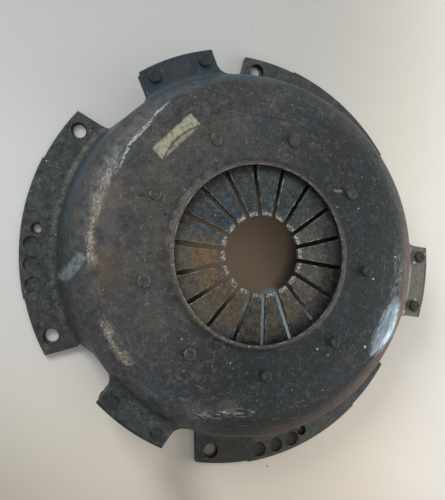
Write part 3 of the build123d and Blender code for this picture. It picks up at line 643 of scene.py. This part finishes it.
def rivet_finish(look):
    """Blackened rivet steel, rubbed bright on the rims of the left heads and darker to the right."""
    f = Finish("rivet_steel", look.rivet)
    grain = f.noise(0.7, detail=5, rough=0.7)
    mottle = f.noise(2.4, detail=6, rough=0.7, shift=6)
    f.tint(rgb(90, 86, 78), f.step(mottle, 0.44, 0.62) * 0.5)
    near = f.math("PINGPONG", f.math("ARCTAN2", f.y, f.x), pi / SPRING_RIVETS)
    away = ((f.radius - RIVET_CIRCLE) ** 2 + (f.radius * f.math("SINE", near)) ** 2) ** 0.5
    shaded = f.most(f.step(f.x - f.y, -10, 60) * 0.5, f.step(f.z, 42, 39) * 0.6)
    f.tint(rgb(32, 36, 38), shaded)
    rim = f.band(away, 3.1, 0.1, 0.35) * f.step(f.x, 0, -40) * f.step(f.z, TOP_HEIGHT, TOP_HEIGHT + 0.4)
    f.tint(rgb(150, 146, 134), rim * f.step(mottle, 0.4, 0.56) * 0.6)
    f.tint(rgb(26, 26, 26), f.step(grain, 0.44, 0.3) * 0.55)
    f.tint(rgb(150, 148, 142), f.step(grain, 0.6, 0.76) * 0.4)
    f.rough = 0.55 + (mottle - 0.5) * 0.4
    return f.surface(f.mix(0.6, 0.3, f.step(mottle, 0.44, 0.62)), grain + mottle, depth=0.1)


def bench_light(f):
    """Brightness of the bench top, full in the middle and on the right, with soft falls elsewhere."""
    brightest, darkest = 1.1, 0.56
    right = f.step(f.x, 20, 230)
    back = f.step(f.y, -60, 190) * 0.42
    front = f.step(f.y + f.x * 0.12, -70, -200) * 0.39
    left = f.step(f.x, -40, -190) * f.step(f.y, 50, -70) * 0.21
    light = 1 - back
    light = light + (brightest - light) * right - front * (1 - right * 0.4) - left
    return f.most(light, darkest)


def bench_finish(look):
    """Smooth pale bench top with painted light and shade: warmer towards the front, a painted shadow at
    the front, an oil stain ringed by painted shade, painted shadows under the flange's holes, and a few
    specks.
    """
    f = Finish("pale_bench", look.bench, ior=1.45)
    cloud = f.noise(160, detail=3)
    tooth = f.noise(1.4, detail=4)
    # painted warm light towards the front and the right
    front = f.most(f.step(f.y - f.x * 0.2, 40, -170), f.step(f.x, -40, 130) * 0.6)
    warm = f.blend(rgb(240, 228, 208), rgb(238, 231, 222), f.step(f.x, 100, 190))
    f.tint(warm, front)
    # painted shadow: a dim patch across the front of the bench
    dim = f.patch((-14, -150), -62, 50, 22, 16)
    f.colour = f.blend(rgb(0, 0, 0), f.colour, bench_light(f) * (1 - dim * 0.36))
    # oil stain below the opening of the clutch, ringed by painted shade under the cover, with a painted
    # bluish light in one sector
    stain = f.step(f.radius + (f.noise(20, detail=4) - 0.5) * 10, 84, 74)
    away = ((f.x - 2) ** 2 + (f.y - 12) ** 2) ** 0.5
    # brown stain in the middle, painted shade beyond it
    oil = f.blend(rgb(220, 186, 150), rgb(54, 47, 40), f.step(away, 32, 44))
    # painted bluish light where the lower slots show the bench
    oil = f.blend(oil, rgb(222, 246, 255), f.sector(309, 17, 12) * f.step(away, 34, 42))
    f.tint(oil, stain * 0.9)
    # painted shadow round the rims of the flange's holes, which leaves a lit disc inside each
    for bearing, aside, clear, lit_colour in HOLE_SHADOWS:
        east, north = BOLT_CIRCLE * cos(radians(bearing)), BOLT_CIRCLE * sin(radians(bearing))
        hole_shadow = f.step((f.x - east) ** 2 + (f.y - north) ** 2, 64, 49)
        disc = f.step((f.x - east - aside[0]) ** 2 + (f.y - north - aside[1]) ** 2,
                      (clear + 0.5) ** 2, (clear - 0.5) ** 2)
        f.tint(f.blend(rgb(56, 48, 42), lit_colour, disc), hole_shadow * 0.9)
    f.tint(rgb(96, 84, 70), f.dots(60, 0.7, 0.35) * 0.7)
    f.rough = 0.75 + (cloud - 0.5) * 0.1
    return f.surface(0.0, tooth, depth=0.02)


# ---- mesh helpers ----------------------------------------------------------------------------------
SHARP = radians(28)               # edges that turn by more than this are eased
FLAT = radians(0.6)               # faces that meet at less than this become one
MERGE = 2e-6                      # metres, points nearer than this become one
SLIVER = 0.0002                   # metres, edges shorter than this are not eased
STRAY = 0.45                      # share of the easing beyond which a corner is set back on the skin


def finish_mesh(bm, name, body, material, replaces):
    """Turns a bmesh into a shown piece that rides on a body and stands for the given nodes."""
    for face in bm.faces:
        face.smooth = True
    for edge in bm.edges:
        edge.smooth = len(edge.link_faces) == 2 and edge.calc_face_angle(0) < SHARP
    mesh = bpy.data.meshes.new(name)
    bm.to_mesh(mesh)
    bm.free()
    mesh.materials.append(material)
    piece = bpy.data.objects.new(name, mesh)
    bpy.context.scene.collection.objects.link(piece)
    weights = piece.modifiers.new("even_shading", "WEIGHTED_NORMAL")
    weights.keep_sharp = True
    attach(piece, body)
    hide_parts(*replaces)
    return piece


def eased_copy(node, width, segments=2):
    """A merged copy of a CAD node's mesh with its sharp edges eased, slivers left as they are."""
    bm = bmesh.new()
    bm.from_mesh(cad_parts[node].data)
    skin = BVHTree.FromBMesh(bm)
    bmesh.ops.remove_doubles(bm, verts=bm.verts, dist=MERGE)
    bmesh.ops.dissolve_limit(bm, angle_limit=FLAT, verts=bm.verts, edges=bm.edges)
    sharp = [edge for edge in bm.edges
             if len(edge.link_faces) == 2 and edge.calc_face_angle(0) > SHARP
             and edge.calc_length() > SLIVER
             and min(face.calc_area() for face in edge.link_faces) > 5 * SLIVER ** 2]
    bmesh.ops.bevel(bm, geom=sharp, offset=width, offset_type="OFFSET", segments=segments,
                    affect="EDGES", profile=0.5, material=-1, clamp_overlap=False)
    for vert in bm.verts:
        place, _, _, away = skin.find_nearest(vert.co)
        if away > width * STRAY:
            vert.co = place
    return bm


def turned(outline, steps=40):
    """A solid of revolution about Z from (radius, height) points in millimetres, axis to axis."""
    bm = bmesh.new()
    points = [bm.verts.new((radius * MM, 0, height * MM)) for radius, height in outline]
    edges = [bm.edges.new(pair) for pair in zip(points, points[1:])]
    bmesh.ops.spin(bm, geom=points + edges, cent=(0, 0, 0), axis=(0, 0, 1), angle=2 * pi,
                   steps=steps, use_merge=True)
    bmesh.ops.remove_doubles(bm, verts=bm.verts, dist=MERGE)
    bmesh.ops.recalc_face_normals(bm, faces=bm.faces)
    return bm


def middle(node):
    """Middle of a CAD node's box on the plan, in metres, with its lowest and highest points."""
    low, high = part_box(node)
    return Vector(((low.x + high.x) / 2, (low.y + high.y) / 2, 0)), low.z, high.z


# ---- sizes and colours that a user may change ------------------------------------------------------
def colour_property(name, description, default):
    """A colour with alpha."""
    return bpy.props.FloatVectorProperty(name=name, description=description, subtype="COLOR", size=4,
                                         min=0.0, max=1.0, default=default)


def length_property(name, description, default):
    """A length, whose default is given in millimetres."""
    return bpy.props.FloatProperty(name=name, description=description, default=default * MM, min=0.0,
                                   precision=5, subtype="DISTANCE", unit="LENGTH")


class CLUTCH_PG_steel(bpy.types.PropertyGroup):
    oxide: colour_property("Oxide", "Blackening of the pressed cover", rgb(56, 60, 62))
    haze: colour_property("Haze", "Brown haze where the blackening has thinned", rgb(82, 76, 69))
    rust: colour_property("Rust", "Rust on the shoulder and in specks", rgb(104, 78, 58))
    bare: colour_property("Bare metal", "Scuffed and scratched steel", rgb(200, 200, 196))
    stripe: colour_property("Stripe", "Pale stripe of paint on the top", rgb(164, 160, 136))
    dab: colour_property("Dab", "Dab of paint low on the wall", rgb(112, 126, 130))
    oil: colour_property("Oiled steel", "Dark oil film on the diaphragm spring", rgb(68, 68, 60))
    worn: colour_property("Worn steel", "Bright fingertips and slot edges", rgb(212, 212, 208))
    iron: colour_property("Iron", "Skin of the cast pressure plate", rgb(70, 66, 62))
    strip: colour_property("Strip", "Strap leaves and fulcrum wire", rgb(112, 114, 118))
    rivet: colour_property("Rivet", "Rivet steel", rgb(68, 70, 67))
    cover_ease: length_property("Cover edge", "Easing of the cover's edges", 0.35)
    spring_ease: length_property("Spring edge", "Easing of the spring's edges", 0.3)
    plate_ease: length_property("Plate edge", "Easing of the plate's edges", 0.6)
    leaf_ease: length_property("Leaf edge", "Easing of the strap leaves' edges", 0.15)
    rivet_ease: length_property("Rivet edge", "Easing of the strap rivets' edges", 0.3)


class CLUTCH_PG_bench(bpy.types.PropertyGroup):
    bench: colour_property("Bench", "Colour of the bench top", rgb(238, 237, 233))
    window: bpy.props.FloatProperty(name="Window", description="Power of the light from the left",
                                    default=12.0, min=0.0, subtype="POWER", unit="POWER")
    side: bpy.props.FloatProperty(name="Side", description="Power of the low light on the right",
                                  default=10.0, min=0.0, subtype="POWER", unit="POWER")
    room: bpy.props.FloatProperty(name="Room", description="Strength of the light from all round",
                                  default=0.55, min=0.0)


# ---- one operator for each piece or group of like pieces -------------------------------------------
class CLUTCH_OT_cover(bpy.types.Operator):
    """Dresses the pressed cover"""
    bl_idname = "clutch.cover"
    bl_label = "Pressed cover"

    def execute(self, context):
        look = context.scene.clutch_steel
        bm = eased_copy("cover", look.cover_ease)
        finish_mesh(bm, "pressed_cover", "cover_body", cover_finish(look), ["cover"])
        return {"FINISHED"}


class CLUTCH_OT_spring(bpy.types.Operator):
    """Dresses the diaphragm spring, on a mesh of its own"""
    bl_idname = "clutch.spring"
    bl_label = "Diaphragm spring"

    def execute(self, context):
        look = context.scene.clutch_steel
        bm = eased_copy("diaphragm_spring", look.spring_ease)
        piece = finish_mesh(bm, "fingered_spring", "cover_body", spring_finish(look),
                            ["diaphragm_spring"])
        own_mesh(piece)
        return {"FINISHED"}


class CLUTCH_OT_rings(bpy.types.Operator):
    """Gives the two fulcrum rings their wire finish"""
    bl_idname = "clutch.rings"
    bl_label = "Fulcrum rings"

    def execute(self, context):
        material = wire_finish(context.scene.clutch_steel)
        for node in ("fulcrum_ring_upper", "fulcrum_ring_lower"):
            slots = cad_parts[node].data.materials
            slots.clear()
            slots.append(material)
        return {"FINISHED"}


class CLUTCH_OT_spring_rivets(bpy.types.Operator):
    """Makes the rivets that carry the spring, with their staked heads"""
    bl_idname = "clutch.spring_rivets"
    bl_label = "Spring rivets"

    def execute(self, context):
        material = rivet_finish(context.scene.clutch_steel)
        for number in range(1, SPRING_RIVETS + 1):
            node = f"spring_rivet_{number}"
            centre, low, high = middle(node)
            low, high = low / MM, high / MM
            shank, neck, head, foot = 3.5, 2.7, 3.4, 7.2
            under, top = TOP_HEIGHT - SHEET, TOP_HEIGHT
            outline = [
                (0, low), (foot - 1.4, low), (foot - 0.5, low + 0.3), (foot, low + 1.0),
                (foot, low + 2.6), (foot - 0.4, low + 3.0), (shank, low + 3.0),
                (shank, under), (neck, under), (neck, top), (head - 0.15, top),
                (head, top + 0.3), (head - 0.1, high - 0.7), (head - 0.5, high - 0.2),
                (head - 1.1, high), (1.5, high - 0.12), (0.9, high - 0.4), (0, high - 0.5)]
            bm = turned(outline)
            bmesh.ops.translate(bm, verts=bm.verts, vec=centre)
            finish_mesh(bm, f"staked_rivet_{number}", "cover_body", material, [node])
        return {"FINISHED"}


class CLUTCH_OT_plate(bpy.types.Operator):
    """Dresses the cast pressure plate"""
    bl_idname = "clutch.plate"
    bl_label = "Pressure plate"

    def execute(self, context):
        look = context.scene.clutch_steel
        bm = eased_copy("pressure_plate", look.plate_ease)
        finish_mesh(bm, "cast_plate", "plate_body", iron_finish(look), ["pressure_plate"])
        return {"FINISHED"}


class CLUTCH_OT_straps(bpy.types.Operator):
    """Dresses the strap leaves, each on a mesh of its own"""
    bl_idname = "clutch.straps"
    bl_label = "Strap leaves"

    def execute(self, context):
        look = context.scene.clutch_steel
        material = strap_finish(look)
        for pack in range(1, EARS + 1):
            for leaf in range(1, LEAVES + 1):
                node = f"strap_{pack}_leaf_{leaf}"
                bm = eased_copy(node, look.leaf_ease, segments=1)
                piece = finish_mesh(bm, f"strip_{pack}_{leaf}", "cover_body", material, [node])
                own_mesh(piece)
        return {"FINISHED"}


class CLUTCH_OT_strap_rivets(bpy.types.Operator):
    """Makes the rivets of the straps: three in the cover and three in the plate"""
    bl_idname = "clutch.strap_rivets"
    bl_label = "Strap rivets"

    def execute(self, context):
        look = context.scene.clutch_steel
        material = rivet_finish(look)
        for number in range(1, EARS + 1):
            for kind, body in (("cover", "cover_body"), ("plate", "plate_body")):
                node = f"{kind}_strap_rivet_{number}"
                bm = eased_copy(node, look.rivet_ease)
                finish_mesh(bm, f"{kind}_side_rivet_{number}", body, material, [node])
        return {"FINISHED"}


class CLUTCH_OT_stage(bpy.types.Operator):
    """Sets up the bench, the lights and the camera"""
    bl_idname = "clutch.stage"
    bl_label = "Bench, lights and camera"

    def execute(self, context):
        look = context.scene.clutch_bench
        self.lay_bench(look)
        self.hang_light("window", (-0.95, 0.75, 0.95), (0.7, 0.6), look.window, (0.94, 0.98, 1.0))
        self.hang_light("side", (1.15, -0.1, 0.28), (1.1, 0.4), look.side, (1.0, 0.97, 0.93))
        self.light_room(context, look)
        self.set_camera(context)
        context.scene.view_settings.view_transform = "Standard"
        return {"FINISHED"}

    def lay_bench(self, look):
        """A flat bench top, a hair below the clutch."""
        half_width, clearance = 2.0, 0.0001
        bm = bmesh.new()
        bmesh.ops.create_grid(bm, x_segments=1, y_segments=1, size=half_width,
                              matrix=Matrix.Translation((0, 0, -clearance)))
        mesh = bpy.data.meshes.new("bench")
        bm.to_mesh(mesh)
        bm.free()
        mesh.materials.append(bench_finish(look))
        bench = bpy.data.objects.new("bench", mesh)
        bpy.context.scene.collection.objects.link(bench)

    def hang_light(self, name, place, size, power, colour):
        """A soft rectangular light that faces the clutch."""
        data = bpy.data.lights.new(name, "AREA")
        data.shape = "RECTANGLE"
        data.size, data.size_y = size
        data.energy = power
        data.color = colour
        light = bpy.data.objects.new(name, data)
        light.location = place
        light.rotation_euler = (-Vector(place)).to_track_quat("-Z", "Y").to_euler()
        bpy.context.scene.collection.objects.link(light)

    def light_room(self, context, look):
        """Even light from all round."""
        world = bpy.data.worlds.new("room")
        world.use_nodes = True
        background = world.node_tree.nodes["Background"]
        background.inputs["Color"].default_value = (0.95, 0.97, 1.0, 1.0)
        background.inputs["Strength"].default_value = look.room
        context.scene.world = world

    def set_camera(self, context):
        """A camera above the clutch, a little to the left."""
        long_side, focal = 500, 655.93              # both in pixels
        data = bpy.data.cameras.new("camera")
        data.sensor_width = 36.0
        data.lens = focal * data.sensor_width / long_side
        data.shift_x = -0.0155
        data.shift_y = 0.066
        data.clip_start = 0.01
        camera = bpy.data.objects.new("camera", data)
        place = Vector((-0.13581, -0.03627, 0.39525))
        right = Vector((0.93636, 0.12094, 0.32956))
        up = Vector((-0.13039, 0.99144, 0.00664))
        turn = Matrix((right, up, right.cross(up))).transposed().to_4x4()
        camera.matrix_world = Matrix.Translation(place) @ turn
        context.scene.collection.objects.link(camera)
        context.scene.camera = camera


class CLUTCH_PT_panel(bpy.types.Panel):
    """Lists the pieces and their looks"""
    bl_idname = "CLUTCH_PT_panel"
    bl_label = "Clutch cover"
    bl_space_type = "VIEW_3D"
    bl_region_type = "UI"
    bl_category = "Clutch"

    def draw(self, context):
        for step in STEPS:
            self.layout.operator(step.bl_idname)
        for group in (context.scene.clutch_steel, context.scene.clutch_bench):
            for name in group.bl_rna.properties.keys():
                if name not in {"rna_type", "name"}:
                    self.layout.prop(group, name)


STEPS = (CLUTCH_OT_cover, CLUTCH_OT_spring, CLUTCH_OT_rings, CLUTCH_OT_spring_rivets, CLUTCH_OT_plate,
         CLUTCH_OT_straps, CLUTCH_OT_strap_rivets, CLUTCH_OT_stage)
GROUPS = (CLUTCH_PG_steel, CLUTCH_PG_bench)


def register():
    for kind in GROUPS + STEPS + (CLUTCH_PT_panel,):
        bpy.utils.register_class(kind)
    bpy.types.Scene.clutch_steel = bpy.props.PointerProperty(type=CLUTCH_PG_steel)
    bpy.types.Scene.clutch_bench = bpy.props.PointerProperty(type=CLUTCH_PG_bench)


def unregister():
    del bpy.types.Scene.clutch_steel
    del bpy.types.Scene.clutch_bench
    for kind in reversed(GROUPS + STEPS + (CLUTCH_PT_panel,)):
        bpy.utils.unregister_class(kind)


def main():
    """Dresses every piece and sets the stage."""
    register()
    for step in STEPS:
        family, name = step.bl_idname.split(".")
        getattr(getattr(bpy.ops, family), name)()


if __name__ == "__main__":
    main()
